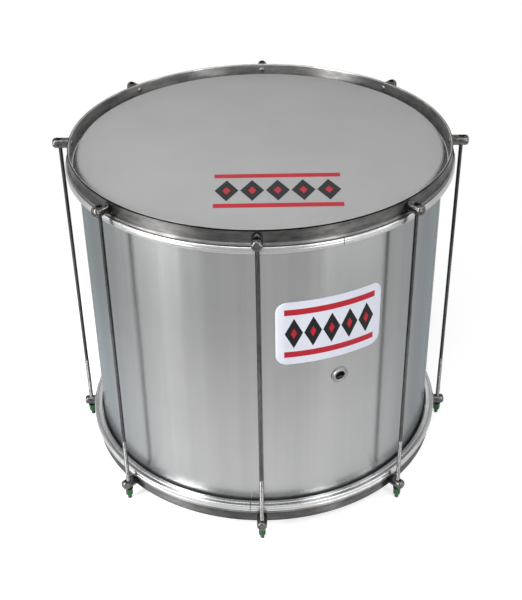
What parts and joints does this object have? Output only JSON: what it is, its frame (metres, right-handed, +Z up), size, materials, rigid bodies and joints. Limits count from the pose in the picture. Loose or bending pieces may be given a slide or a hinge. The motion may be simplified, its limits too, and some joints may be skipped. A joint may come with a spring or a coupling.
{
  "type": "surdo drum",
  "caption": "Deep aluminium bass drum with milky film heads, flanged steel counterhoops, turned stud lugs, long tension rods with green nuts and an air vent in its shell.",
  "frame": {"origin": "on the floor, on the drum's axis, level with the ends of the tension rods", "axes": "+Z up along the drum's axis; -Y is the front, with the air vent; +X is to the right of the vent"},
  "size_m": [0.544, 0.544, 0.4928],
  "materials": {
    "polished_aluminium": "bright rolled sheet, close to a mirror, with faint upright rolling marks",
    "satin_aluminium": "satin, brushed along the hoop",
    "hoop_steel": "dull, brushed along the hoop",
    "turned_steel": "bright, with fine turning rings",
    "rod_steel": "dark drawn wire, semi-gloss, with a brighter thread",
    "washer_steel": "dull stamped",
    "green_lacquer": "dark green, semi-gloss, worn at the corners",
    "milky_film": null,
    "white_label": null
  },
  "bodies": {
    "drum": {"shell": "polished_aluminium", "seam_strip": "satin_aluminium", "seam_rivet_1": "satin_aluminium", "seam_rivet_2": "satin_aluminium", "seam_rivet_3": "satin_aluminium", "seam_rivet_4": "satin_aluminium", "seam_rivet_5": "satin_aluminium", "seam_rivet_6": "satin_aluminium", "vent_eyelet": "satin_aluminium", "vent_washer": "washer_steel", "shell_label": "white_label", "top_head": "milky_film", "top_flesh_hoop": "satin_aluminium", "top_counterhoop": "hoop_steel", "bottom_head": "milky_film", "bottom_flesh_hoop": "satin_aluminium", "bottom_counterhoop": "hoop_steel", "top_lug_1": "turned_steel", "top_lug_2": "turned_steel", "top_lug_3": "turned_steel", "top_lug_4": "turned_steel", "top_lug_5": "turned_steel", "top_lug_6": "turned_steel", "top_lug_7": "turned_steel", "top_lug_8": "turned_steel", "bottom_lug_1": "turned_steel", "bottom_lug_2": "turned_steel", "bottom_lug_3": "turned_steel", "bottom_lug_4": "turned_steel", "bottom_lug_5": "turned_steel", "bottom_lug_6": "turned_steel", "bottom_lug_7": "turned_steel", "bottom_lug_8": "turned_steel", "tension_rod_1": "rod_steel", "tension_rod_2": "rod_steel", "tension_rod_3": "rod_steel", "tension_rod_4": "rod_steel", "tension_rod_5": "rod_steel", "tension_rod_6": "rod_steel", "tension_rod_7": "rod_steel", "tension_rod_8": "rod_steel"},
    "washer_1": {"nut_washer_1": "washer_steel"},
    "nut_1": {"tension_nut_1": "green_lacquer"},
    "washer_2": {"nut_washer_2": "washer_steel"},
    "nut_2": {"tension_nut_2": "green_lacquer"},
    "washer_3": {"nut_washer_3": "washer_steel"},
    "nut_3": {"tension_nut_3": "green_lacquer"},
    "washer_4": {"nut_washer_4": "washer_steel"},
    "nut_4": {"tension_nut_4": "green_lacquer"},
    "washer_5": {"nut_washer_5": "washer_steel"},
    "nut_5": {"tension_nut_5": "green_lacquer"},
    "washer_6": {"nut_washer_6": "washer_steel"},
    "nut_6": {"tension_nut_6": "green_lacquer"},
    "washer_7": {"nut_washer_7": "washer_steel"},
    "nut_7": {"tension_nut_7": "green_lacquer"},
    "washer_8": {"nut_washer_8": "washer_steel"},
    "nut_8": {"tension_nut_8": "green_lacquer"}
  },
  "joints": [
    {"name": "washer_slide_1", "type": "slide", "parent": "drum", "child": "washer_1", "axis": [0, 0, -1], "range_m": [0, 0.003]},
    {"name": "nut_turn_1", "type": "hinge", "parent": "washer_1", "child": "nut_1", "pos_m": [-0.1157, -0.25388, 0.012], "axis": [0, 0, -1], "range_deg": [0, 1080]},
    {"name": "washer_slide_2", "type": "slide", "parent": "drum", "child": "washer_2", "axis": [0, 0, -1], "range_m": [0, 0.003]},
    {"name": "nut_turn_2", "type": "hinge", "parent": "washer_2", "child": "nut_2", "pos_m": [0.09771, -0.26133, 0.012], "axis": [0, 0, -1], "range_deg": [0, 1080]},
    {"name": "washer_slide_3", "type": "slide", "parent": "drum", "child": "washer_3", "axis": [0, 0, -1], "range_m": [0, 0.003]},
    {"name": "nut_turn_3", "type": "hinge", "parent": "washer_3", "child": "nut_3", "pos_m": [0.25388, -0.1157, 0.012], "axis": [0, 0, -1], "range_deg": [0, 1080]},
    {"name": "washer_slide_4", "type": "slide", "parent": "drum", "child": "washer_4", "axis": [0, 0, -1], "range_m": [0, 0.003]},
    {"name": "nut_turn_4", "type": "hinge", "parent": "washer_4", "child": "nut_4", "pos_m": [0.26133, 0.09771, 0.012], "axis": [0, 0, -1], "range_deg": [0, 1080]},
    {"name": "washer_slide_5", "type": "slide", "parent": "drum", "child": "washer_5", "axis": [0, 0, -1], "range_m": [0, 0.003]},
    {"name": "nut_turn_5", "type": "hinge", "parent": "washer_5", "child": "nut_5", "pos_m": [0.1157, 0.25388, 0.012], "axis": [0, 0, -1], "range_deg": [0, 1080]},
    {"name": "washer_slide_6", "type": "slide", "parent": "drum", "child": "washer_6", "axis": [0, 0, -1], "range_m": [0, 0.003]},
    {"name": "nut_turn_6", "type": "hinge", "parent": "washer_6", "child": "nut_6", "pos_m": [-0.09771, 0.26133, 0.012], "axis": [0, 0, -1], "range_deg": [0, 1080]},
    {"name": "washer_slide_7", "type": "slide", "parent": "drum", "child": "washer_7", "axis": [0, 0, -1], "range_m": [0, 0.003]},
    {"name": "nut_turn_7", "type": "hinge", "parent": "washer_7", "child": "nut_7", "pos_m": [-0.25388, 0.1157, 0.012], "axis": [0, 0, -1], "range_deg": [0, 1080]},
    {"name": "washer_slide_8", "type": "slide", "parent": "drum", "child": "washer_8", "axis": [0, 0, -1], "range_m": [0, 0.003]},
    {"name": "nut_turn_8", "type": "hinge", "parent": "washer_8", "child": "nut_8", "pos_m": [-0.26133, -0.09771, 0.012], "axis": [0, 0, -1], "range_deg": [0, 1080]}
  ],
  "couplings": [
    {"joint": "washer_slide_1", "follows": "nut_turn_1", "m_per_rad": 0.00015915},
    {"joint": "washer_slide_2", "follows": "nut_turn_2", "m_per_rad": 0.00015915},
    {"joint": "washer_slide_3", "follows": "nut_turn_3", "m_per_rad": 0.00015915},
    {"joint": "washer_slide_4", "follows": "nut_turn_4", "m_per_rad": 0.00015915},
    {"joint": "washer_slide_5", "follows": "nut_turn_5", "m_per_rad": 0.00015915},
    {"joint": "washer_slide_6", "follows": "nut_turn_6", "m_per_rad": 0.00015915},
    {"joint": "washer_slide_7", "follows": "nut_turn_7", "m_per_rad": 0.00015915},
    {"joint": "washer_slide_8", "follows": "nut_turn_8", "m_per_rad": 0.00015915}
  ]
}
